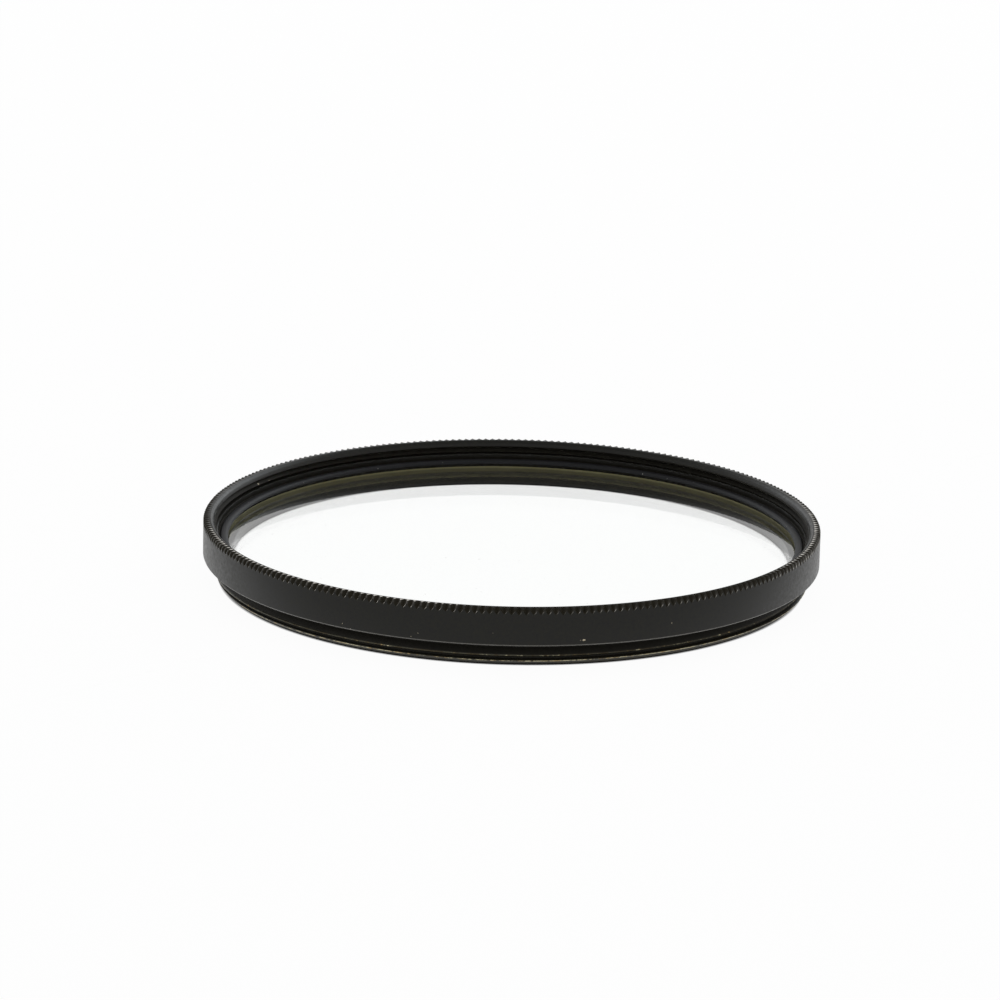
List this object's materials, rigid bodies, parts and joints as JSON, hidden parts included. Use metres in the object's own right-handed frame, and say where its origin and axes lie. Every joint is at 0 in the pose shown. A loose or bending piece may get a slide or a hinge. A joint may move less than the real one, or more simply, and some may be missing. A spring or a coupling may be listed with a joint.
{
  "type": "screw in lens filter",
  "caption": "Round clear filter in a thin black metal frame, with a male screw thread at its foot, a female thread in its mouth and a finely serrated rim to grip.",
  "frame": {"origin": "centre of the standing face, on the axis of the ring", "axes": "+Z along the axis of the ring, from the male thread to the open mouth; -Y faces the camera"},
  "size_m": [0.08, 0.08, 0.0079],
  "materials": {
    "black_coating": "satin",
    "clear_glass": "polished",
    "black_ring": "satin"
  },
  "bodies": {
    "root": {"filter_frame": "black_coating", "filter_glass": "clear_glass", "retaining_ring": "black_ring"}
  },
  "joints": []
}
